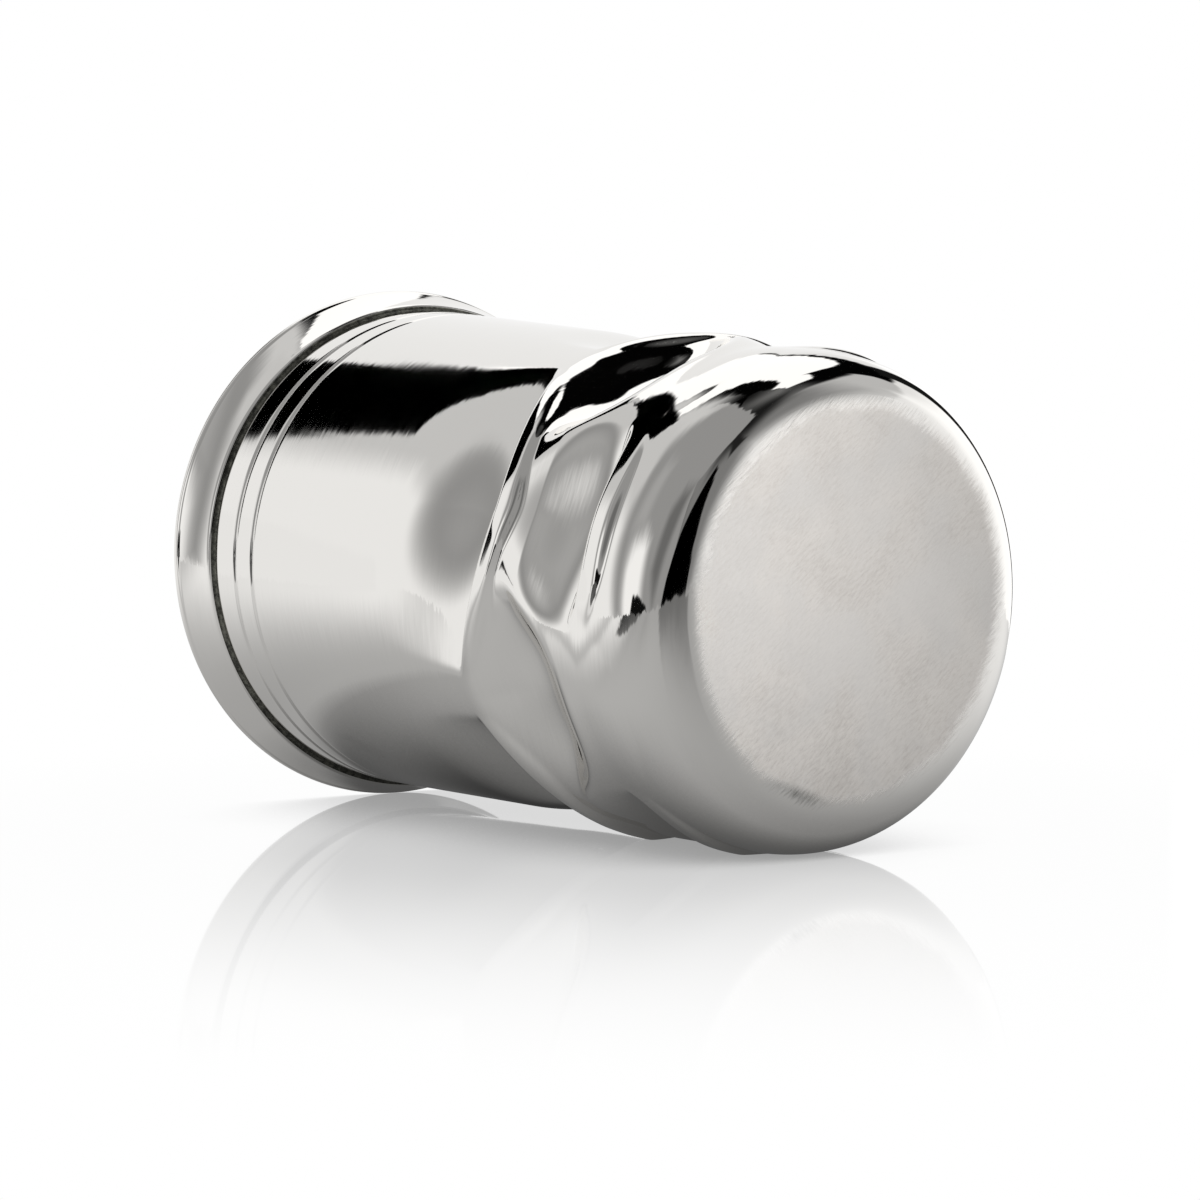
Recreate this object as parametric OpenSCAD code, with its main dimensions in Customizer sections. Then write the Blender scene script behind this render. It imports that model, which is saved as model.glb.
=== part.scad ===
// Cast metal tumbler. It stands on z = 0 with its axis along z, and the hollows of the upper
// and lower rows are centred on the x and y axes.

/* [Foot] */
// Radius of the flat underside
flat_r = 22.6; // [18:0.1:26]
// How far the rounded foot stands out beyond the flat underside
foot_round = 9; // [6:0.1:11]
// Height of the rounded foot
foot_h = 14.3; // [10:0.1:17]

/* [Wall] */
// Height of the wall's top end, inside the lip
wall_h = 101; // [90:0.5:112]
// How far inside the rounded foot the taper would meet the ground
taper_in = 1.8; // [0.5:0.1:3]
// How much wider the taper is at the wall's top end than at the ground
taper_rise = 6.7; // [4:0.1:9]
// Thickness of the wall at its top end
mouth_wall = 2.6; // [1.6:0.1:3.4]
// How far the lower half swells out of the taper
swell = 1.4; // [0.4:0.1:3]
// Height where the swelling starts
swell_top_z = 52.4; // [40:0.1:60]
// Height where the swelling is full
swell_foot_z = 25.5; // [18:0.1:30]

/* [Base plate] */
// How far the plate let into the foot reaches beyond the flat underside
plate_edge = 3.6; // [1:0.1:5]
// Thickness of the plate
plate_t = 2.4; // [1.6:0.1:3.2]
// Width of the step in the wall that the plate sits against
seat_w = 2.6; // [1.5:0.1:4]

/* [Engraved lines] */
// Distance from the lip's ledge down to the upper line
line_drop = 5.7; // [3:0.1:12]
// Distance between the two lines
line_gap = 4.5; // [2:0.1:8]
// Width of a line
line_w = 1.1; // [0.5:0.1:1.6]
// Depth of a line
line_d = 0.25; // [0.1:0.05:0.5]

/* [Lip] */
// How far the lip laps down over the wall
lip_lap = 2.8; // [1:0.1:4]
// Width of the ledge under the lip
ledge_w = 0.75; // [0.4:0.05:1.2]
// How far the lip flares out from its ledge to its widest circle
flare = 2.1; // [1:0.05:4]
// Height of the lip's widest circle above the wall's top end
lip_h = 4; // [2.5:0.1:7]
// Radius of the lip's rounded edge
lip_edge = 1.15; // [0.8:0.05:1.4]

/* [Solder] */
// Size of the solder fillet under the lip
rim_solder = 0.5; // [0.3:0.05:0.7]
// Size of the solder fillet round the floor
floor_solder = 1.2; // [0.6:0.1:2]

/* [Hollows] */
// Number of hollows in a row
columns = 4; // [3:1:6]

/* [Upper hollows] */
// Half the angle that a hollow takes
up_half = 39; // [28:0.5:43]
// Height of the crease, at its middle
up_crease_z = 34.4; // [33:0.1:37]
// How far the crease rises to its ends
up_rise = 5.9; // [0:0.1:8]
// Height of the hollow above its crease
up_reach = 21.5; // [12:0.1:24]
// Depth of the hollow at its crease
up_depth = 3.6; // [1:0.1:4]
// Height of the wall below the crease
up_wall = 2.9; // [2:0.1:8]
// How far the ridge below the wall stands out
up_ridge = 1; // [0:0.05:1.5]
// Height over which the ridge dies away
up_fade = 3.2; // [2.5:0.1:8]

/* [Middle hollows] */
// Half the angle that a hollow takes
mid_half = 30.3; // [24:0.1:40]
// Height of the crease, at its middle
mid_crease_z = 26.9; // [24:0.1:30]
// How far the crease rises to its ends
mid_rise = 3; // [0:0.1:8]
// Height of the hollow above its crease
mid_reach = 14.7; // [10:0.1:24]
// Depth of the hollow at its crease
mid_depth = 4.8; // [1:0.1:5.2]
// Height of the wall below the crease
mid_wall = 10.1; // [4:0.1:11]
// How far the ridge below the wall stands out
mid_ridge = 0.45; // [0:0.05:1]
// Height over which the ridge dies away
mid_fade = 9.3; // [4:0.1:11]

/* [Lower hollows] */
// Half the angle that a hollow takes
low_half = 24.5; // [18:0.1:34]
// Height of the crease, at its middle
low_crease_z = 15.7; // [15:0.1:20]
// How far the crease rises to its ends, or dips where below zero
low_rise = 0.1; // [-2:0.1:4]
// Height of the hollow above its crease
low_reach = 16.4; // [8:0.1:18]
// Depth of the hollow at its crease
low_depth = 3; // [1:0.1:3.6]
// Height of the wall below the crease
low_wall = 2.9; // [2:0.1:8]
// How far the ridge below the wall stands out
low_ridge = 0.7; // [0:0.05:1.5]
// Height over which the ridge dies away
low_fade = 3.2; // [2.5:0.1:6]

/* [Hidden] */

// Gap that the solder fills where two pieces fit together
fit = 0.05;
// Overrun of every cut
over = 1;

// Curve of the swelling and of the rounded foot: 1 is straight, more bends later
swell_curve = 2.5;
shoulder_curve = 2.8;
// How each row's curves bend: crease, reach, wall height, sides (two), slope (two), ridge
up_curves = [1.5, 7.1, 1.8, 1.9, 0.9, 1.3, 2.0, 9];
mid_curves = [4.7, 1.4, 2.6, 3.2, 2.5, 2.5, 4.8, 2.7];
low_curves = [2.1, 1.4, 3.2, 2.1, 1.5, 1.8, 1.8, 9];

// Sectors round the wall, rings on the foot and rings over the hollows
sectors = 28 * columns;
foot_rings = 10;
hollow_rings = 36;
// How the foot's rings crowd towards its top, so that they lie evenly in height there
ring_curve = 1.4;
round_fn = 180;
arc_steps = 10;
// Angles: a quarter and a half turn, and where the lip's rounded edge leaves its flare
quarter_turn = 90;
half_turn = 180;
flare_turn = -25;

pitch = 360 / columns;
hollows_top_z = up_crease_z + up_rise + up_reach;

// Radii and heights that follow from the sizes above
shoulder_r = flat_r + foot_round;
wall_foot_r = shoulder_r - taper_in;
wall_top_r = wall_foot_r + taper_rise;
plate_r = flat_r + plate_edge;
floor_r = plate_r - seat_w;
ledge_z = wall_h - lip_lap;
lip_z = wall_h + lip_h;
upper_line_z = ledge_z - line_drop;
lower_line_z = upper_line_z - line_gap;

function clamp(t) = min(max(t, 0), 1);
function smooth(t) = let (k = clamp(t)) k * k * (3 - 2 * k);
function mix(a, b, t) = a + (b - a) * t;

// Radius of the plain taper outside and of the cup inside
function taper_r(z) = mix(wall_foot_r, wall_top_r, z / wall_h);
function inside_r(z) = mix(floor_r, wall_top_r - mouth_wall, (z - plate_t) / (wall_h - plate_t));

// A point of the rounded foot, from its top (turn = 0) to the flat underside (turn = 90)
function foot_point(turn) = [
    mix(flat_r, shoulder_r, pow(cos(turn), 2 / shoulder_curve)),
    foot_h * (1 - pow(sin(turn), 2 / shoulder_curve))
];

// Radius of the body above the foot, before the hollows are pressed in
function swollen_r(z) =
    taper_r(z) + swell * pow(clamp((swell_top_z - z) / (swell_top_z - swell_foot_z)), swell_curve);
function body_r(z) = z >= swell_foot_z ? swollen_r(z)
    : mix(swollen_r(swell_foot_z), shoulder_r, smooth((swell_foot_z - z) / (swell_foot_z - foot_h)));

// Depth of the engraved lines at height z
function line_cut(z) =
    line_d * max(0, 1 - min(abs(z - upper_line_z), abs(z - lower_line_z)) / (line_w / 2));

// How far one row of hollows moves the wall out (or in, where negative) at angle a, height z
function hollow(a, z, angle, half, crease_z, rise, reach, depth, wall, ridge, fade, curves) =
    let (off = abs((a - angle + 2.5 * pitch) % pitch - pitch / 2),
         u = off / half)
    u >= 1 ? 0 :
    let (s = z - crease_z - rise * pow(u, curves[0]),
         top = reach * sqrt(1 - pow(u, curves[1])),
         drop = wall * (1 - pow(u, curves[2])),
         sides = pow(1 - pow(u, curves[3]), curves[4]),
         scoop = depth * pow(1 - pow(clamp(s / top), curves[5]), curves[6]))
    sides * (s >= 0 ? -scoop
        : s > -drop ? mix(-depth, ridge, smooth(-s / drop))
        : ridge * (1 - pow(clamp(-(s + drop) / fade), curves[7])));

function hollows(a, z) =
    hollow(a, z, 0, up_half, up_crease_z, up_rise, up_reach, up_depth, up_wall, up_ridge,
           up_fade, up_curves)
    + hollow(a, z, pitch / 2, mid_half, mid_crease_z, mid_rise, mid_reach, mid_depth, mid_wall,
             mid_ridge, mid_fade, mid_curves)
    + hollow(a, z, 0, low_half, low_crease_z, low_rise, low_reach, low_depth, low_wall,
             low_ridge, low_fade, low_curves);

// Profile of the wall from the underside to its top end, as [radius, height]
foot_profile = [for (i = [0 : foot_rings - 1])
    foot_point(quarter_turn * pow(1 - i / foot_rings, ring_curve))];
hollow_profile = [for (i = [0 : hollow_rings])
    let (z = mix(foot_h, hollows_top_z, i / hollow_rings)) [body_r(z), z]];
line_profile = [for (z0 = [lower_line_z, upper_line_z]) for (side = [-1 : 1])
    let (z = z0 + side * line_w / 2) [body_r(z) - line_cut(z), z]];
profile = concat(foot_profile, hollow_profile, line_profile, [[wall_top_r, wall_h]]);

// The cast wall: rings of points joined into one closed skin, then hollowed out
module body_wall() {
    rings = len(profile);
    points = [for (p = profile) for (j = [0 : sectors - 1])
        let (a = 360 * j / sectors, r = p[0] + hollows(a, p[1]))
        [r * cos(a), r * sin(a), p[1]]];
    sides = [for (i = [0 : rings - 2]) for (j = [0 : sectors - 1])
        let (k = (j + 1) % sectors, low = i * sectors, high = low + sectors)
        each [[low + j, high + j, high + k], [low + j, high + k, low + k]]];
    underside = [for (j = [0 : sectors - 1]) j];
    top_end = [for (j = [0 : sectors - 1]) rings * sectors - 1 - j];
    color("#c8c8c4") difference() {
        polyhedron(points, concat(sides, [underside, top_end]), convexity = 6);
        cup_space();
    }
}

// The inside of the cup, with the seat of the base plate below it
module cup_space() {
    seat_r = plate_r + fit;
    rotate_extrude($fn = round_fn) polygon([
        [0, -over], [seat_r, -over], [seat_r, plate_t], [floor_r, plate_t],
        [inside_r(wall_h + over), wall_h + over], [0, wall_h + over]
    ]);
}

// The base plate: its underside is flat, and its edge carries on the rounded foot
module base_disc() {
    edge_turn = acos(pow((plate_r - flat_r) / (shoulder_r - flat_r), shoulder_curve / 2));
    edge = [for (i = [0 : arc_steps]) foot_point(mix(quarter_turn, edge_turn, i / arc_steps))];
    color("#d2d0cb") rotate_extrude($fn = round_fn)
        polygon(concat([[0, 0]], edge, [[plate_r, plate_t], [0, plate_t]]));
}

// A concave fillet in the corner at [r, z], leaning with the surface beside it
module fillet_ring(r, z, size, side, up, lean) {
    arc = [for (i = [0 : arc_steps]) let (t = quarter_turn * i / arc_steps)
        [r + side * size * (1 - sin(t)) + lean * size * (1 - cos(t)), z + up * size * (1 - cos(t))]];
    rotate_extrude($fn = round_fn) polygon(concat([[r, z]], arc));
}

// Solder in the corner between the floor and the wall
module base_seam() {
    color("#a9a9a5") fillet_ring(floor_r, plate_t, floor_solder, -1, 1,
        (inside_r(plate_t + floor_solder) - floor_r) / floor_solder);
}

// Solder in the crevice between the wall and the ledge of the lip
module rim_seam() {
    color("#8c8c84") fillet_ring(taper_r(ledge_z), ledge_z, rim_solder, 1, -1,
        (taper_r(ledge_z - rim_solder) - taper_r(ledge_z)) / rim_solder);
}

// The flared lip: it laps over the wall's top end and carries on the cup's inside above it
module rim_lip() {
    foot_r = taper_r(ledge_z) + fit + ledge_w;
    lip_r = foot_r + flare;
    edge = [for (i = [0 : arc_steps]) let (t = mix(flare_turn, half_turn, i / arc_steps))
        [lip_r - lip_edge + lip_edge * cos(t), lip_z + lip_edge * sin(t)]];
    mouth_r = inside_r(wall_h + fit);
    throat_z = wall_h + fit;
    color("#d6d6d2") rotate_extrude($fn = round_fn) polygon(concat(
        [[taper_r(ledge_z) + fit, ledge_z], [foot_r, ledge_z]],
        edge,
        [[mouth_r, throat_z], [wall_top_r + fit, throat_z]]
    ));
}

body_wall();
base_disc();
base_seam();
rim_lip();
rim_seam();
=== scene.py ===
"""The looks of a cast, polished metal tumbler.

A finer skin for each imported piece, the metals that it is finished in, and the white studio that it
lies in. Shapes are in millimetres until a mesh is made. The cup's axis is z, and its underside is
at z = 0.
"""
from collections import namedtuple

import bpy
import numpy as np
from mathutils import Matrix, Vector


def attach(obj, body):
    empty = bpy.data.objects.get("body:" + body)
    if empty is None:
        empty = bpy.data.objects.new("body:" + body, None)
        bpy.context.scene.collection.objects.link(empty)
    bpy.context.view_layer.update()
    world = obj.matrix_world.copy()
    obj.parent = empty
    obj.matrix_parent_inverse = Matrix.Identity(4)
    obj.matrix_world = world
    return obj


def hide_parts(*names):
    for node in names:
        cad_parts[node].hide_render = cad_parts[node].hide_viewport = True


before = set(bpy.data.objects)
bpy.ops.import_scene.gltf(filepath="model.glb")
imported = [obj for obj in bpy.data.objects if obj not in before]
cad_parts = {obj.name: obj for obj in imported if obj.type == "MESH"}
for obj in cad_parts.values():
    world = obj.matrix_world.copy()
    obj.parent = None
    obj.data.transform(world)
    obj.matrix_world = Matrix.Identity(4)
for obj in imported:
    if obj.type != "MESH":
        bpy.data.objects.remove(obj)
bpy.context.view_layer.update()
MM = 0.001

# Sizes of the part, in millimetres and degrees, as in its CAD source
FLAT_R = 22.6
SHOULDER_R = FLAT_R + 9
FOOT_H = 14.3
WALL_H = 101
WALL_FOOT_R = SHOULDER_R - 1.8
WALL_TOP_R = WALL_FOOT_R + 6.7
MOUTH_WALL = 2.6
SWELL = 1.4
SWELL_TOP_Z = 52.4
SWELL_FOOT_Z = 25.5
PLATE_R = FLAT_R + 3.6
PLATE_T = 2.4
FLOOR_R = PLATE_R - 2.6
LEDGE_Z = WALL_H - 2.8
UPPER_LINE_Z = LEDGE_Z - 5.7
LOWER_LINE_Z = UPPER_LINE_Z - 4.5
LINE_W = 1.1
LINE_D = 0.25
FIT = 0.05
LEDGE_W = 0.75
FLARE = 2.1
LIP_H = 4
LIP_EDGE = 1.15
RIM_SOLDER = 0.5
FLOOR_SOLDER = 1.2
SWELL_CURVE = 2.5
SHOULDER_CURVE = 2.8
PITCH = 90

# One row of hollows: its angle, half the angle that a hollow takes, the height and rise of its
# crease, its height above the crease, its depth, the wall and ridge below the crease, the fall
# of the ridge, and the powers of its curves
Row = namedtuple("Row", "angle half crease_z rise reach depth wall ridge fade curves")
ROWS = [
    Row(0, 39, 34.4, 5.9, 21.5, 3.6, 2.9, 1, 3.2, (1.5, 7.1, 1.8, 1.9, 0.9, 1.3, 2.0, 9)),
    Row(PITCH / 2, 30.3, 26.9, 3, 14.7, 4.8, 10.1, 0.45, 9.3,
        (4.7, 1.4, 2.6, 3.2, 2.5, 2.5, 4.8, 2.7)),
    Row(0, 24.5, 15.7, 0.1, 16.4, 3, 2.9, 0.7, 3.2, (2.1, 1.4, 3.2, 2.1, 1.5, 1.8, 1.8, 9)),
]

# Finer forms of the lip: the bow of its side, where its edge begins, and its rounded corner
LIP_BOW = 0.13
LIP_EDGE_TURN = -42
LIP_CORNER = 0.45
LIP_CORNER_TURN = -25

# Fineness of the meshes, and how far the creases are softened
SECTORS = 640
BODY_RINGS = 300
FOOT_RINGS = 60
GROOVE_RINGS = 12
ARC_STEPS = 12
SOFT_PASSES = 4
STEP = 0.5
FINE_STEP = 0.2
HUB_R = 0.5
SHARP_TURN = 40
SMALL = 1e-6

# The camera, solved from the photograph in the cup's own frame
CUP_H = 105
CAMERA_PLACE = np.array([1.8471, -0.3822, -2.0575]) * CUP_H
CAMERA_RIGHT = np.array([-0.75040, 0.30459, -0.58661])
CAMERA_DOWN = np.array([-0.30925, -0.94616, -0.09567])
CAMERA_FORWARD = np.cross(CAMERA_RIGHT, CAMERA_DOWN)
CAMERA_LENS = 72.23
CAMERA_SENSOR = 36
CAMERA_NEAR = 10

# The floor: its normal, how far it lies from the cup's frame, and how far it reaches
FLOOR_NORMAL = np.array([0.3183, 0.9443, 0.0832])
FLOOR_DROP = 0.2892 * CUP_H
FLOOR_REACH = 330
FLOOR_COLUMNS = 180
FLOOR_RINGS = 90
FLOOR_HUB_SHARE = 0.001

# The studio: a shell a long way from the cup
CUP_MIDDLE = np.array([0, 0, CUP_H / 2])
STUDIO_R = 20000
STUDIO_COLUMNS = 720
STUDIO_ROWS = 300


def mix(a, b, t):
    return a + (b - a) * t


def smooth(t):
    t = np.clip(t, 0, 1)
    return t * t * (3 - 2 * t)


def bell(value, middle, width):
    return np.exp(-((value - middle) / width) ** 2)


def apart(lon, middle):
    """Degrees from a middle direction, the short way round."""
    return (lon - middle + 180) % 360 - 180


# Shape of the wall
def taper_r(z):
    return mix(WALL_FOOT_R, WALL_TOP_R, z / WALL_H)


def inside_r(z):
    return mix(FLOOR_R, WALL_TOP_R - MOUTH_WALL, (z - PLATE_T) / (WALL_H - PLATE_T))


def foot_point(turn):
    """A point of the rounded foot, from its top at turn 0 to the flat underside at 90 degrees."""
    t = np.radians(turn)
    return (mix(FLAT_R, SHOULDER_R, np.cos(t) ** (2 / SHOULDER_CURVE)),
            FOOT_H * (1 - np.sin(t) ** (2 / SHOULDER_CURVE)))


def plate_edge_turn():
    """Where the plate's edge lies on the rounded foot."""
    share = (PLATE_R - FLAT_R) / (SHOULDER_R - FLAT_R)
    return np.degrees(np.arccos(share ** (SHOULDER_CURVE / 2)))


def swollen_r(z):
    t = np.clip((SWELL_TOP_Z - z) / (SWELL_TOP_Z - SWELL_FOOT_Z), 0, 1)
    return taper_r(z) + SWELL * t ** SWELL_CURVE


def body_r(z):
    foot = mix(swollen_r(SWELL_FOOT_Z), SHOULDER_R,
               smooth((SWELL_FOOT_Z - z) / (SWELL_FOOT_Z - FOOT_H)))
    return np.where(z >= SWELL_FOOT_Z, swollen_r(z), foot)


def line_cut(z):
    """Depth of the engraved lines at height z, as two rounded grooves."""
    off = np.minimum(abs(z - UPPER_LINE_Z), abs(z - LOWER_LINE_Z)) / (LINE_W / 2)
    return LINE_D * np.cos(np.clip(off, 0, 1) * np.pi / 2) ** 2


def hollow(turn, z, row):
    """How far one row of hollows moves the wall out at each angle and height."""
    off = abs((turn - row.angle + PITCH / 2) % PITCH - PITCH / 2)
    u = np.clip(off / row.half, 0, 1 - SMALL)
    crease, reach, drop, side, side_power, slope, slope_power, edge = row.curves
    s = z - row.crease_z - row.rise * u ** crease
    top = row.reach * np.sqrt(1 - u ** reach)
    fall = row.wall * (1 - u ** drop)
    sides = (1 - u ** side) ** side_power
    scoop = row.depth * (1 - np.clip(s / top, 0, 1) ** slope) ** slope_power
    wall = mix(-row.depth, row.ridge, smooth(-s / fall))
    ridge = row.ridge * (1 - np.clip(-(s + fall) / row.fade, 0, 1) ** edge)
    return sides * np.where(s >= 0, -scoop, np.where(s > -fall, wall, ridge))


def soften(field, passes):
    """The field of radii with its creases rounded a little. It wraps round the cup."""
    for _ in range(passes):
        field[1:-1] = (field[:-2] + 2 * field[1:-1] + field[2:]) / 4
        field = (np.roll(field, 1, 1) + 2 * field + np.roll(field, -1, 1)) / 4
    return field


def refined(profile, step=STEP):
    """The profile with its long stretches cut up, so that shading stays true beside a corner."""
    profile = np.array(profile, float)
    points = [profile[:1]]
    for a, b in zip(profile, profile[1:]):
        cuts = int(np.ceil(np.hypot(*(b - a)) / step))
        points.append(mix(a, b, np.arange(1, cuts + 1)[:, None] / cuts))
    return np.concatenate(points)


def outer_profile():
    """Radius and height up the outside of the wall, from the plate's edge to the top end."""
    arc = [foot_point(t) for t in np.linspace(plate_edge_turn(), 0, FOOT_RINGS + 1)]
    foot = list(refined(arc, FINE_STEP)[:-1])
    top_z = max(row.crease_z + row.rise + row.reach for row in ROWS)
    heights = list(np.linspace(FOOT_H, top_z, BODY_RINGS))
    for z in (LOWER_LINE_Z, UPPER_LINE_Z):
        heights += list(z + np.linspace(-LINE_W, LINE_W, 2 * GROOVE_RINGS + 1) / 2)
    body = [(body_r(z) - line_cut(z), z) for z in heights]
    return refined(foot + body + [(WALL_TOP_R, WALL_H)])


# Meshes
def mesh_piece(name, points, faces, materials):
    mesh = bpy.data.meshes.new(name)
    mesh.from_pydata((np.asarray(points) * MM).tolist(), [], faces)
    for material in materials:
        mesh.materials.append(material)
    mesh.polygons.foreach_set("use_smooth", [True] * len(mesh.polygons))
    mesh.set_sharp_from_angle(angle=np.radians(SHARP_TURN))
    mesh.update()
    piece = bpy.data.objects.new(name, mesh)
    bpy.context.scene.collection.objects.link(piece)
    return piece


def dress(piece, node):
    """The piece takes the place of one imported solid."""
    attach(piece, "root")
    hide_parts(node)


def ring_faces(rings, sectors, closed):
    """Quads between rings of points, and from the last ring to the first where it is closed."""
    faces = []
    for i in range(rings if closed else rings - 1):
        low, high = i * sectors, (i + 1) % rings * sectors
        faces += [(low + j, low + (j + 1) % sectors, high + (j + 1) % sectors, high + j)
                  for j in range(sectors)]
    return faces


def turned(profile, shift=None):
    """Points of a profile of radius and height turned round the axis, ring by ring."""
    turn = np.arange(SECTORS) / SECTORS * 2 * np.pi
    radius = np.repeat(profile[:, :1], SECTORS, 1)
    if shift is not None:
        radius[:len(shift)] += shift
    height = np.repeat(profile[:, 1:], SECTORS, 1)
    return np.stack([radius * np.cos(turn), radius * np.sin(turn), height], -1).reshape(-1, 3)


def turned_ring(name, profile, materials):
    """A closed ring of a piece, turned from a closed profile that runs clockwise."""
    profile = refined(list(profile) + [profile[0]])[:-1]
    return mesh_piece(name, turned(profile), ring_faces(len(profile), SECTORS, True), materials)


def make_wall(pewter):
    outside = outer_profile()
    turns, heights = np.meshgrid(np.arange(SECTORS) / SECTORS * 360, outside[:, 1])
    relief = soften(sum(hollow(turns, heights, row) for row in ROWS), SOFT_PASSES)
    inside = refined([outside[-1], (inside_r(WALL_H), WALL_H), (FLOOR_R, PLATE_T),
                      (PLATE_R, PLATE_T), outside[0]])[1:-1]
    profile = np.concatenate([outside, inside])
    faces = ring_faces(len(profile), SECTORS, True)
    dress(mesh_piece("cast_wall", turned(profile, relief), faces, [pewter]),
          "body_wall")


def make_disc(pewter):
    """The base plate: rings from the middle of the underside round its edge to the floor."""
    edge = [foot_point(t) for t in np.linspace(90, plate_edge_turn(), FOOT_RINGS)]
    profile = refined([(HUB_R, 0)] + edge + [(PLATE_R, PLATE_T), (HUB_R, PLATE_T)])
    points = np.concatenate([turned(profile), [(0, 0, 0), (0, 0, PLATE_T)]])
    faces = ring_faces(len(profile), SECTORS, False)
    below, above = len(points) - 2, len(points) - 1
    last = (len(profile) - 1) * SECTORS
    for j in range(SECTORS):
        k = (j + 1) % SECTORS
        faces += [(below, k, j), (above, last + j, last + k)]
    dress(mesh_piece("base_plate", points, faces, [pewter]), "base_disc")


def make_lip(pewter, ledge_metal):
    wall_r = taper_r(LEDGE_Z) + FIT
    foot_r = wall_r + LEDGE_W
    edge_r = foot_r + FLARE - LIP_EDGE
    corner = np.radians(np.linspace(-90, LIP_CORNER_TURN, ARC_STEPS))
    turn = np.radians(np.linspace(LIP_EDGE_TURN, 180, 4 * ARC_STEPS))
    edge = list(zip(edge_r + LIP_EDGE * np.cos(turn), WALL_H + LIP_H + LIP_EDGE * np.sin(turn)))
    profile = [(wall_r, LEDGE_Z)]
    profile += list(zip(foot_r - LIP_CORNER + LIP_CORNER * np.cos(corner),
                        LEDGE_Z + LIP_CORNER + LIP_CORNER * np.sin(corner)))
    start, end = np.array(profile[-1]), np.array(edge[0])
    for t in np.linspace(0, 1, ARC_STEPS + 1)[1:-1]:
        r, z = mix(start, end, t)
        profile.append((r - LIP_BOW * 4 * t * (1 - t), z))
    profile += edge + [(inside_r(WALL_H), WALL_H), (WALL_TOP_R + FIT, WALL_H)]
    piece = turned_ring("lip", profile, [pewter, ledge_metal])
    for face in piece.data.polygons:
        if face.center.z < (LEDGE_Z + FIT / 2) * MM:
            face.material_index = 1
    dress(piece, "rim_lip")


def fillet(r, z, size, side, up, lean):
    """Profile of a concave fillet in the corner at r, z that leans with the surface beside it."""
    t = np.linspace(0, np.pi / 2, ARC_STEPS)
    return [(r, z)] + list(zip(r + side * size * (1 - np.sin(t)) + lean * size * (1 - np.cos(t)),
                               z + up * size * (1 - np.cos(t))))


def make_rim_solder(solder):
    lean = (taper_r(LEDGE_Z - RIM_SOLDER) - taper_r(LEDGE_Z)) / RIM_SOLDER
    profile = fillet(taper_r(LEDGE_Z), LEDGE_Z, RIM_SOLDER, 1, -1, lean)
    dress(turned_ring("rim_solder", profile, [solder]), "rim_seam")


def make_floor_solder(solder):
    lean = (inside_r(PLATE_T + FLOOR_SOLDER) - FLOOR_R) / FLOOR_SOLDER
    profile = fillet(FLOOR_R, PLATE_T, FLOOR_SOLDER, -1, 1, lean)
    dress(turned_ring("floor_solder", profile, [solder]), "base_seam")


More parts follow.
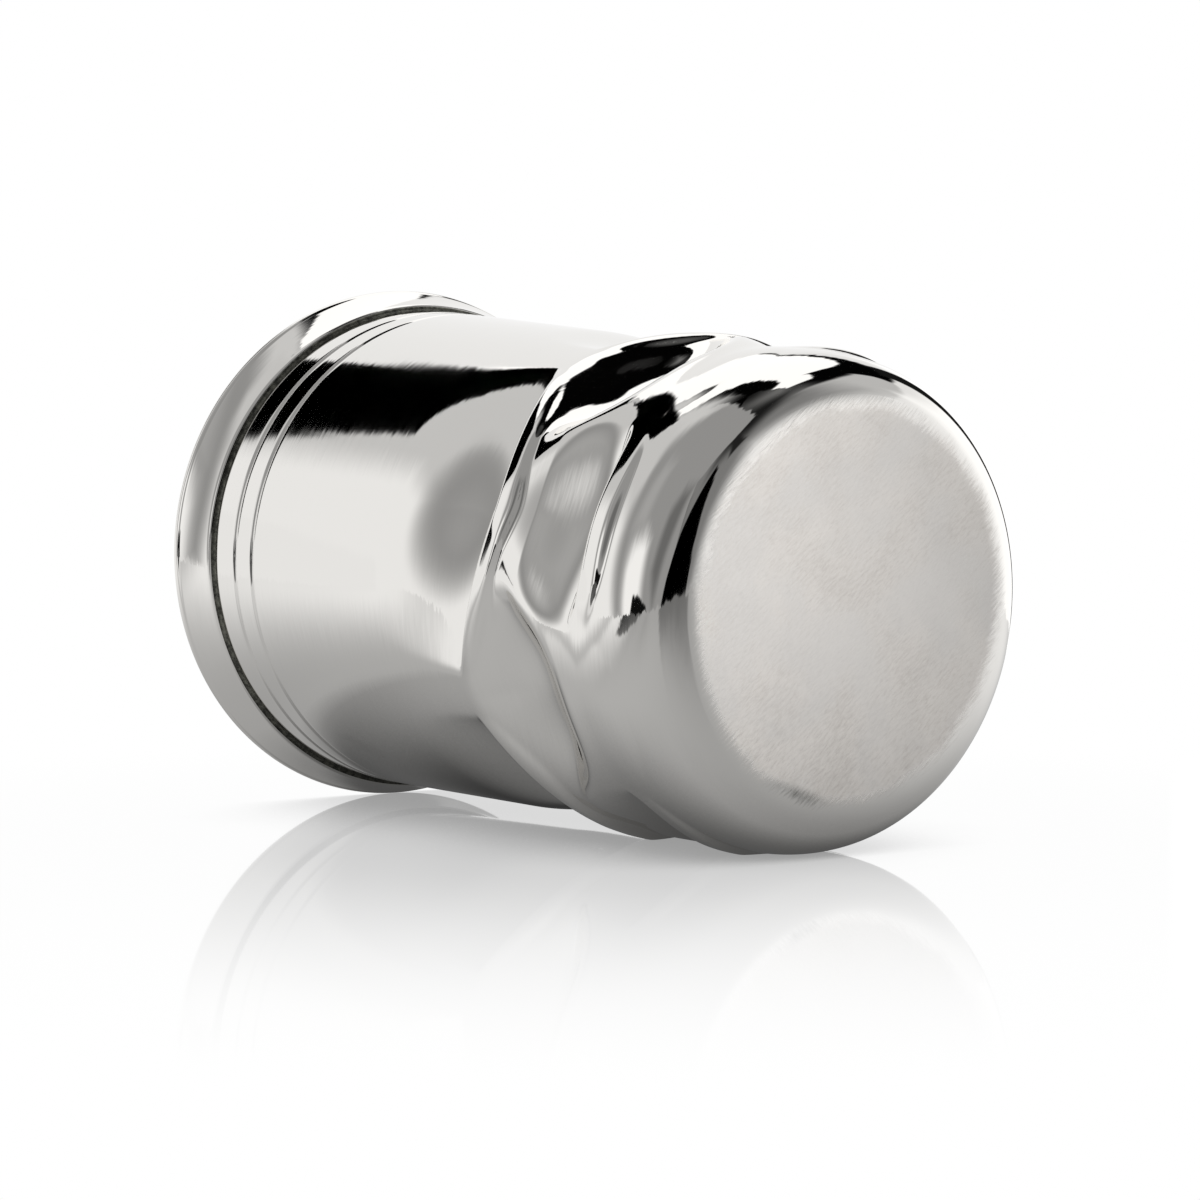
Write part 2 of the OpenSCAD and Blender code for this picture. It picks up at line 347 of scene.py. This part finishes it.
# Materials
class Nodes:
    """Adds and links nodes in one material's tree."""

    def __init__(self, name):
        self.material = bpy.data.materials.new(name)
        self.material.use_nodes = True
        self.tree = self.material.node_tree
        self.tree.nodes.clear()
        self.out = self.tree.nodes.new("ShaderNodeOutputMaterial")

    def give(self, socket, value):
        if isinstance(value, bpy.types.NodeSocket):
            self.tree.links.new(value, socket)
        else:
            socket.default_value = value

    def add(self, kind, inputs=None, **settings):
        node = self.tree.nodes.new(kind)
        for key, value in settings.items():
            setattr(node, key, value)
        for key, value in (inputs or {}).items():
            self.give(node.inputs[key], value)
        return node

    def math(self, operation, a, b):
        return self.add("ShaderNodeMath", {0: a, 1: b}, operation=operation).outputs[0]

    def vector(self, operation, a, b=None, output=0, **named):
        """One step of vector maths. What the step calls by name, such as Scale, is in named."""
        inputs = {0: a, **named}
        if b is not None:
            inputs[1] = b
        return self.add("ShaderNodeVectorMath", inputs, operation=operation).outputs[output]

    def span(self, value, low, high, to_low=0.0, to_high=1.0):
        """The value carried smoothly from one range to another."""
        return self.add("ShaderNodeMapRange", {"Value": value, "From Min": low, "From Max": high,
                                               "To Min": to_low, "To Max": to_high},
                        interpolation_type="SMOOTHSTEP").outputs["Result"]

    def noise(self, vector, scale=1.0, detail=3.0, roughness=0.5):
        return self.add("ShaderNodeTexNoise", {"Vector": vector, "Scale": scale,
                                               "Detail": detail, "Roughness": roughness}
                        ).outputs["Fac"]

    def scaled(self, vector, factors, turn=(0, 0, 0)):
        return self.add("ShaderNodeMapping", {"Vector": vector, "Scale": factors,
                                              "Rotation": turn}).outputs["Vector"]

    def distance(self, place, middle, factors):
        """Distance of a place from a middle in millimetres, stretched by factors."""
        offset = self.vector("SUBTRACT", place, tuple(MM * m for m in middle))
        return self.vector("LENGTH", self.scaled(offset, factors), output="Value")

    def blend(self, share, a, b, kind="FLOAT"):
        """a where share is 0 and b where it is 1, for numbers or colours."""
        node = self.add("ShaderNodeMix", data_type=kind)
        share_in, a_in, b_in, out = {"FLOAT": (0, 2, 3, 0), "RGBA": (0, 6, 7, 2)}[kind]
        for index, value in ((share_in, share), (a_in, a), (b_in, b)):
            self.give(node.inputs[index], value)
        return node.outputs[out]

    def bump(self, height, distance, normal=None):
        inputs = {"Height": height, "Distance": distance, "Strength": 1.0}
        if normal is not None:
            inputs["Normal"] = normal
        return self.add("ShaderNodeBump", inputs).outputs["Normal"]

    def streaked(self, place, scale, tilt):
        """The normal tilted round the axis by fine polishing streaks that run round the body."""
        streaks = self.noise(self.scaled(place, scale), detail=2.0, roughness=0.6)
        around = self.vector("NORMALIZE", self.vector("CROSS_PRODUCT", (0, 0, 1), place))
        amount = self.math("MULTIPLY", self.math("SUBTRACT", streaks, 0.5), tilt)
        normal = self.add("ShaderNodeNewGeometry").outputs["Normal"]
        tilted = self.vector("ADD", normal, self.vector("SCALE", around, Scale=amount))
        return self.vector("NORMALIZE", tilted)

    def metal(self, colour, roughness, normal):
        shader = self.add("ShaderNodeBsdfPrincipled", {
            "Base Color": colour, "Metallic": 1.0, "Roughness": roughness, "Normal": normal})
        return self.finish(shader.outputs["BSDF"])

    def finish(self, shader):
        self.tree.links.new(shader, self.out.inputs["Surface"])
        return self.material


# Polished pewter: its colour, and the polishing streaks and smears that run round the cup
POLISHED = (0.815, 0.80, 0.773, 1)
POLISHED_ROUGH = (0.03, 0.06)
STREAK_SCALE = (170, 170, 3200)
STREAK_TILT = 0.06
SMEAR_SCALE = (60, 60, 900)
SMEAR_RANGE = (0.3, 0.8)

# The range of a noise that is spread over the roughness of any metal but the polished one
ROUGH_RANGE = (0.3, 0.7)

# Satin underside: its colours, and how much brighter painted shading makes it for each metre across
SATIN = (0.90, 0.865, 0.825, 1)
SATIN_COOL = (0.82, 0.805, 0.786, 1)
SATIN_DARK = (0.68, 0.645, 0.61, 1)
SATIN_WORN = (0.13, 0.13, 0.12, 1)
SATIN_ROUGH = (0.36, 0.46)
SATIN_LEVEL = 0.92
SATIN_PAINTED_SHADING = (9.5, -4.4, 0)

# Noise in the satin: scales, and the range of each noise that is spread over the colours
STROKE_TURN = np.radians(121)
STROKE_SCALE = (500, 3200, 500)
GRAIN_SCALE = (700, 2600, 700)
GRAIN_D = 0.03
GRAIN_SHARE = 0.72
CLOUD_SCALE = 110
CLOUD_RANGE = (0.3, 0.6)
WARMTH_SCALE = 75
WARMTH_RANGE = (0.4, 0.62)
WARMTH_SHARE = 0.5

# Edge of the satin, in millimetres: strokes and patches cut it back from these radii
SATIN_MIDDLE = (0.3, 0.8, 0)
SATIN_INNER_R = 25.2
SATIN_OUTER_R = 27.8
SATIN_TOP_Z = PLATE_T - 0.2
SATIN_END_Z = PLATE_T - 0.1
STROKE_REACH = 3
PATCH_SCALE = 160
PATCH_REACH = 1.6

# Worn smudge beside the edge, in millimetres
SMUDGE_MIDDLE = (0.4, -23.7, 0)
SMUDGE_STRETCH = (0.26, 1.1, 0)
SMUDGE_REACH = 1.2
SMUDGE_FADE = (0.6, 2.5)

# Dull metals: a light and a dark colour and a roughness each, and their mottle
LEDGE_COLOURS = ((0.36, 0.36, 0.31, 1), (0.22, 0.22, 0.19, 1))
LEDGE_ROUGH = (0.43, 0.30)
SOLDER_COLOURS = ((0.20, 0.20, 0.17, 1), (0.05, 0.05, 0.045, 1))
SOLDER_ROUGH = (0.48, 0.35)
MOTTLE_SCALE = 1300
MOTTLE_RANGE = (0.32, 0.68)
MOTTLE_D = 0.04


def satin_share(n, place, strokes):
    """1 on the satin under the cup and 0 elsewhere, with an edge that the strokes fray."""
    across = n.distance(place, SATIN_MIDDLE, (1, 1, 0))
    across = n.math("ADD", across, n.math("MULTIPLY", strokes, STROKE_REACH * MM))
    patches = n.noise(place, PATCH_SCALE)
    across = n.math("ADD", across, n.math("MULTIPLY", patches, PATCH_REACH * MM))
    height = n.add("ShaderNodeSeparateXYZ", {"Vector": place}).outputs["Z"]
    return n.math("MULTIPLY", n.span(across, SATIN_INNER_R * MM, SATIN_OUTER_R * MM, 1.0, 0.0),
                  n.span(height, SATIN_TOP_Z * MM, SATIN_END_Z * MM, 1.0, 0.0))


def satin_colour(n, place, strokes, grain):
    """Cloudy satin, brighter to one side by painted shading, with a worn smudge at its edge."""
    cloud = n.blend(GRAIN_SHARE, n.noise(place, CLOUD_SCALE, 4.0), grain)
    colour = n.blend(n.span(cloud, *CLOUD_RANGE), SATIN_DARK, SATIN, "RGBA")
    warmth = n.noise(place, WARMTH_SCALE)
    colour = n.blend(n.span(warmth, *WARMTH_RANGE, 0.0, WARMTH_SHARE), colour, SATIN_COOL, "RGBA")
    # Painted shading: the satin's colour is scaled lighter on one side and darker on the other
    lean = n.vector("DOT_PRODUCT", place, SATIN_PAINTED_SHADING, output="Value")
    colour = n.vector("SCALE", colour, Scale=n.math("ADD", lean, SATIN_LEVEL))
    smudge = n.math("ADD", n.distance(place, SMUDGE_MIDDLE, SMUDGE_STRETCH),
                    n.math("MULTIPLY", strokes, SMUDGE_REACH * MM))
    near, far = SMUDGE_FADE
    return n.blend(n.span(smudge, near * MM, far * MM, 1.0, 0.0), colour, SATIN_WORN, "RGBA")


def pewter_material():
    """Polished pewter, ground to satin on the underside with short brush strokes at its edge."""
    n = Nodes("pewter")
    place = n.add("ShaderNodeTexCoord").outputs["Object"]
    brushed = n.scaled(place, (1, 1, 1), (0, 0, -STROKE_TURN))
    strokes = n.noise(n.scaled(brushed, STROKE_SCALE), roughness=0.6)
    grain = n.noise(n.scaled(brushed, GRAIN_SCALE), detail=5.0, roughness=0.75)
    smear = n.noise(n.scaled(place, SMEAR_SCALE), detail=4.0, roughness=0.6)
    satin = satin_share(n, place, strokes)
    colour = n.blend(satin, POLISHED, satin_colour(n, place, strokes, grain), "RGBA")
    roughness = n.blend(satin, n.span(smear, *SMEAR_RANGE, *POLISHED_ROUGH),
                        n.span(grain, *ROUGH_RANGE, *SATIN_ROUGH))
    normal = n.bump(n.blend(satin, 0.0, grain), GRAIN_D * MM,
                    n.streaked(place, STREAK_SCALE, STREAK_TILT))
    return n.metal(colour, roughness, normal)


def dull_material(name, colours, rough):
    """Metal left unpolished: solder, and the ledge under the lip."""
    n = Nodes(name)
    light, dark = colours
    mottle = n.noise(n.add("ShaderNodeTexCoord").outputs["Object"], MOTTLE_SCALE, 5.0, 0.65)
    colour = n.blend(n.span(mottle, *MOTTLE_RANGE), dark, light, "RGBA")
    return n.metal(colour, n.span(mottle, *ROUGH_RANGE, *rough), n.bump(mottle, MOTTLE_D * MM))


# Studio: panels round the cup, seen only in the metal. A panel has its brightness as it shows in
# the metal, the width of its soft edge and its corners, as degrees right of the view and above it
Panel = namedtuple("Panel", "brightness soft corners")
PANELS = {
    "ceiling": Panel(.555, 2, [
        (-200, -8), (-200, 74), (-180, 80), (-165, 83), (-130, 85), (-100, 84), (-80, 82),
        (-66, 79), (-57, 74), (-51, 69), (-47, 62), (-47, 55), (-60, 40), (-60, -8)]),
    "ceiling_end": Panel(.555, 2, [
        (210, -8), (210, 85), (180, 80), (170, 77), (160, 72.5), (151, 67), (145, 59), (139, 51),
        (137, 45), (150, 40), (180, 0)]),
    "ceiling_glow": Panel(.77, 24, [(-78, 40), (-78, 78), (-40, 78), (-40, 40)]),
    "left_core": Panel(.40, 12, [
        (-176, 34), (-162, 38), (-150, 30), (-142, 8), (-148, -4), (-156, 4), (-168, 20)]),
    "left_dip": Panel(.68, 12, [(-112, -14), (-112, 24), (-90, 24), (-90, -14)]),
    "left_white": Panel(.93, 13, [
        (-126, -22), (-128, 20), (-118, 25), (-108, 21), (-101, 11), (-100.5, -22)]),
    "left_light": Panel(.75, 7, [
        (-101, -12), (-100, 20), (-95, 34), (-84, 48), (-72, 56), (-62, 58), (-50, 50), (-55, -12)]),
    "left_bright": Panel(.90, 12, [(-94, -12), (-92, 24), (-78, 32), (-60, 26), (-58, -12)]),
    "left_grey": Panel(.55, 11, [(-101, -6), (-102.5, 24), (-100, 50), (-88, 50), (-94.5, -6)]),
    "left_grey_high": Panel(.62, 12, [(-114, 26), (-114, 52), (-99, 52), (-100, 26)]),
    "right_box": Panel(.71, 4, [
        (60, 44), (65, 51), (105, 52), (128, 49.5), (137, 42), (142, 31), (153, -12), (60, -12)]),
    "right_fade": Panel(.46, 34, [(102, -30), (102, 80), (190, 80), (190, -30)]),
    "right_dark": Panel(.10, 22, [(140, 36), (110, 60), (160, 70), (160, 36)]),
    "ceiling_corner": Panel(.555, 2, [
        (210, 85), (180, 80), (170, 77), (160, 72.5), (151, 67), (145, 59), (139, 51), (138, 47),
        (152, 43), (164, 33), (210, 33)]),
    "backdrop_right": Panel(.87, 2.5, [
        (0, -12), (0, 34), (16, 37), (30, 37.5), (60, 38), (94, 20), (97, -12)]),
    "backdrop_glow": Panel(1.0, 12, [(10, -12), (10, 24), (25, 28), (80, 28), (92, -12)]),
    "top_white": Panel(1.0, 1.5, [
        (-47, 54), (-46, 59), (-35, 63), (-20, 68), (-8, 71), (5, 74), (20, 76), (36, 77),
        (56, 77.5), (72, 77), (70, 68), (60, 61), (30, 48), (10, 35), (-47, 38)]),
    "top_white_right": Panel(1.0, 1.5, [(60, 66), (60, 77.5), (104, 77), (108, 66), (84, 62)]),
    "gap": Panel(.0, 1.2, [
        (-62.5, 31.5), (-61, 35), (-58.5, 42), (-56, 48), (-53, 54), (-43, 54), (-38, 50.5),
        (-30, 48.5), (-26, 47.5), (-10, 43), (2, 37), (4, 30), (-20, 20), (-60, 20)]),
    "backdrop": Panel(.89, 1, [
        (-76, 0), (-70, 15), (-63, 30), (-58, 34.5), (-54, 37.3), (-48, 39.4), (-42, 40.2),
        (-36, 41), (-31, 43), (-28, 45.5), (-24, 46.2), (-10, 42.2), (1, 36.5), (8, 30),
        (14, 20), (14, -12), (-76, -12)]),
    "gap_below": Panel(.0, 1.2, [
        (-67.5, 4), (-68.5, 12), (-66, 22), (-62.5, 32), (-57, 35), (-59.5, 27), (-62.5, 17),
        (-65.5, 6)]),
    "right_wedge": Panel(.0, 1.5, [
        (141, -8), (144, 4), (148, 14), (153.5, 27), (158.5, 33), (165, 28.5), (172, 20), (177, 14),
        (184, 8), (190, 1), (195, -4), (198, -8)]),
    "left_wedge": Panel(.0, 1.5, [
        (-219, -8), (-200, 30), (-195, 28.5), (-188, 20), (-183, 14), (-176, 8), (-170, 1),
        (-165, -4), (-162, -8)]),
    "base_white": Panel(.92, 24, [(80, -20), (80, 20), (128, 20), (128, -20)]),
    "right_gap": Panel(.08, 3, [(26, -3), (25, 20), (27, 39), (47, 41), (40, 18), (33, -3)]),
    "right_streak": Panel(.12, 3, [(138, 32), (151, 44), (154, 41), (146, 28)]),
    "left_triangle": Panel(.05, 1.5, [
        (-141, -8), (-129, -1.5), (-121, 1), (-116, 0), (-113, -6), (-114, -9)]),
}
ROOM_DARK = .01

# Floor as the metal shows it: where it starts below the view, its level, and patches of light with
# their middle and width, in degrees round the view and in degrees of depth below the floor's edge
FLOOR_EDGE = -6.5
FLOOR_EDGE_SOFT = .8
FLOOR_LEVEL = .38
Patch = namedtuple("Patch", "brightness lon lon_width depth depth_width")
FLOOR_PATCHES = [
    Patch(.45, 85, 50, 0, 26),
    Patch(.2, -55, 45, 32, 14),
    Patch(.08, -108, 14, 11, 11),
]
FLOOR_GLOW = .29
FLOOR_GLOW_LON = -150
FLOOR_GLOW_W = 90

# Shades of the floor under the cup: darkness, middle and width, start of the shade and its ramp
Shade = namedtuple("Shade", "darkness lon lon_width start ramp")
FLOOR_SHADES = [Shade(.08, 120, 90, 26, 14), Shade(.13, -62, 30, 20, 4)]

# Where the floor mirrors the panels too, and the panels that it doesn't show
FLOOR_MIRRORS = [Patch(.35, None, None, 0, 9), Patch(.65, -82, 42, 0, 16)]
NOT_IN_FLOOR = ["gap_below", "left_grey", "left_grey_high"]

# Floor as the camera shows it, in millimetres: its shadow, and a reflection that fades
SHADOW_REACH = 38
SHADOW_SEEN = (0.0, 0.65, 0.5, 1.0)
SHADOW_IN_METAL = (0.0, 0.85, 0.27, 1.0)
SHADOW_SAMPLES = 8
REFLECTION = 0.4
REFLECTION_NEAR = 40
REFLECTION_FAR = 170
REFLECTION_ROUGH = 0.03


def panel_share(lon, lat, panel):
    """How much of a panel shows in each direction: 1 inside it, 0 outside, soft between."""
    corners = np.array(panel.corners, float)
    middle = corners.mean(0)
    inside = np.full(lon.shape, np.inf)
    for a, b in zip(corners, np.roll(corners, -1, 0)):
        normal = np.array([a[1] - b[1], b[0] - a[0]]) / np.hypot(*(b - a))
        normal *= np.sign(normal @ (middle - a))
        inside = np.minimum(inside, (lon - a[0]) * normal[0] + (lat - a[1]) * normal[1])
    return smooth(inside / panel.soft + .5)


def panel_light(lon, lat, left_out=()):
    """Brightness of the panels in each direction, the later ones over the earlier ones."""
    light = np.full(lon.shape, ROOM_DARK)
    for name, panel in PANELS.items():
        if name not in left_out:
            light = mix(light, panel.brightness, panel_share(lon, lat, panel))
    return light


def patch_light(lon, depth, patch):
    """Light of one patch of the floor. A patch without a direction goes all the way round."""
    light = patch.brightness * bell(depth, patch.depth, patch.depth_width)
    if patch.lon is None:
        return light
    return light * bell(apart(lon, patch.lon), 0, patch.lon_width)


def floor_light(lon, lat):
    """Brightness of the floor: its own grey, and the panels mirrored in it towards the horizon."""
    depth = FLOOR_EDGE - lat
    own = FLOOR_LEVEL + FLOOR_GLOW * bell(apart(lon, FLOOR_GLOW_LON), 0, FLOOR_GLOW_W)
    own += sum(patch_light(lon, depth, patch) for patch in FLOOR_PATCHES)
    for shade in FLOOR_SHADES:
        own -= (shade.darkness * bell(apart(lon, shade.lon), 0, shade.lon_width)
                * smooth((depth - shade.start) / shade.ramp))
    mirrored = panel_light(lon, np.clip(FLOOR_EDGE + depth, FLOOR_EDGE, 90), NOT_IN_FLOOR)
    return mix(own, mirrored, sum(patch_light(lon, depth, patch) for patch in FLOOR_MIRRORS))


def studio_light(lon, lat):
    return mix(panel_light(lon, lat), floor_light(lon, lat),
               smooth((FLOOR_EDGE - lat) / FLOOR_EDGE_SOFT + .5))


def linear(display):
    """A brightness as it shows on an sRGB screen, as light."""
    return np.where(display <= .04045, display / 12.92, ((display + .055) / 1.055) ** 2.4)


def add_light_layer(mesh, display):
    """The light that shows with the given brightness once the polished metal has mirrored it."""
    layer = mesh.attributes.new("light", "FLOAT", "POINT")
    layer.data.foreach_set("value", (linear(display) / POLISHED[1]).astype(np.float32).ravel())


def direction(lon, lat):
    lon, lat = np.radians(lon)[..., None], np.radians(lat)[..., None]
    return (np.cos(lat) * np.sin(lon) * CAMERA_RIGHT - np.sin(lat) * CAMERA_DOWN
            + np.cos(lat) * np.cos(lon) * CAMERA_FORWARD)


def make_studio():
    lon, lat = np.meshgrid(np.linspace(-180, 180, STUDIO_COLUMNS, endpoint=False),
                           np.linspace(-90, 90, STUDIO_ROWS))
    points = (CUP_MIDDLE + STUDIO_R * direction(lon, lat)).reshape(-1, 3)
    shell = mesh_piece("studio", points, ring_faces(STUDIO_ROWS, STUDIO_COLUMNS, False),
                       [studio_material()])
    add_light_layer(shell.data, studio_light(lon, lat))
    shell.visible_camera = False


def studio_material():
    n = Nodes("studio")
    light = n.add("ShaderNodeAttribute", attribute_name="light").outputs["Fac"]
    shader = n.add("ShaderNodeEmission", {"Strength": light})
    n.material.cycles.emission_sampling = "NONE"
    return n.finish(shader.outputs["Emission"])


def make_floor():
    """A round white floor, tangent to the lip and the base, with the light that it gives back."""
    centre = CUP_MIDDLE - FLOOR_NORMAL * (CUP_MIDDLE @ FLOOR_NORMAL + FLOOR_DROP)
    side = np.cross(FLOOR_NORMAL, CAMERA_FORWARD)
    side /= np.linalg.norm(side)
    ahead = np.cross(side, FLOOR_NORMAL)
    turn, reach = np.meshgrid(np.arange(FLOOR_COLUMNS) / FLOOR_COLUMNS * 2 * np.pi,
                              np.linspace(FLOOR_HUB_SHARE, 1, FLOOR_RINGS) * FLOOR_REACH)
    points = (centre + reach[..., None] * (np.cos(turn)[..., None] * side
                                           + np.sin(turn)[..., None] * ahead))
    seen = points - CUP_MIDDLE
    seen /= np.linalg.norm(seen, axis=-1, keepdims=True)
    lon = np.degrees(np.arctan2(seen @ CAMERA_RIGHT, seen @ CAMERA_FORWARD))
    lat = np.degrees(np.arcsin(-seen @ CAMERA_DOWN))
    floor = mesh_piece("floor", points.reshape(-1, 3),
                       ring_faces(FLOOR_RINGS, FLOOR_COLUMNS, False), [floor_material(centre)])
    add_light_layer(floor.data, floor_light(lon, np.minimum(lat, FLOOR_EDGE)))


def floor_material(centre):
    """White to the camera, with a soft shadow and a fading reflection; grey in the metal."""
    n = Nodes("floor")
    path = n.add("ShaderNodeLightPath").outputs
    geometry = n.add("ShaderNodeNewGeometry").outputs
    light = n.add("ShaderNodeAttribute", attribute_name="light").outputs["Fac"]
    shade = n.add("ShaderNodeAmbientOcclusion", {"Distance": SHADOW_REACH * MM},
                  samples=SHADOW_SAMPLES).outputs["AO"]
    offset = n.vector("DISTANCE", geometry["Position"], Vector(centre * MM), output="Value")
    share = n.span(offset, REFLECTION_NEAR * MM, REFLECTION_FAR * MM, REFLECTION, 0.0)
    white = n.add("ShaderNodeEmission", {"Strength": n.span(shade, *SHADOW_SEEN)})
    gloss = n.add("ShaderNodeBsdfGlossy", {"Color": (1, 1, 1, 1), "Roughness": REFLECTION_ROUGH})
    seen = n.add("ShaderNodeMixShader", {0: share, 1: white.outputs[0], 2: gloss.outputs[0]})
    grey = n.add("ShaderNodeEmission",
                 {"Strength": n.math("MULTIPLY", light, n.span(shade, *SHADOW_IN_METAL))})
    either = n.add("ShaderNodeMixShader",
                   {0: path["Is Camera Ray"], 1: grey.outputs[0], 2: seen.outputs[0]})
    clear = n.add("ShaderNodeBsdfTransparent")
    one_sided = n.add("ShaderNodeMixShader",
                      {0: geometry["Backfacing"], 1: either.outputs[0], 2: clear.outputs[0]})
    n.material.cycles.emission_sampling = "NONE"
    return n.finish(one_sided.outputs[0])


def make_world():
    world = bpy.data.worlds.new("white")
    bpy.context.scene.world = world
    world.use_nodes = True
    back = world.node_tree.nodes["Background"]
    back.inputs["Color"].default_value = (1, 1, 1, 1)
    back.inputs["Strength"].default_value = 1.0


def make_camera():
    data = bpy.data.cameras.new("camera")
    data.sensor_width = CAMERA_SENSOR
    data.lens = CAMERA_LENS
    data.clip_start = CAMERA_NEAR * MM
    camera = bpy.data.objects.new("camera", data)
    bpy.context.scene.collection.objects.link(camera)
    turn = Matrix([CAMERA_RIGHT, -CAMERA_DOWN, -CAMERA_FORWARD]).transposed().to_4x4()
    camera.matrix_world = Matrix.Translation(Vector(CAMERA_PLACE * MM)) @ turn
    bpy.context.scene.camera = camera


bpy.context.scene.view_settings.view_transform = "Standard"
make_camera()
make_world()
make_studio()
make_floor()

pewter = pewter_material()
ledge_metal = dull_material("dull_ledge", LEDGE_COLOURS, LEDGE_ROUGH)
solder = dull_material("solder", SOLDER_COLOURS, SOLDER_ROUGH)
make_wall(pewter)
make_disc(pewter)
make_lip(pewter, ledge_metal)
make_rim_solder(solder)
make_floor_solder(solder)
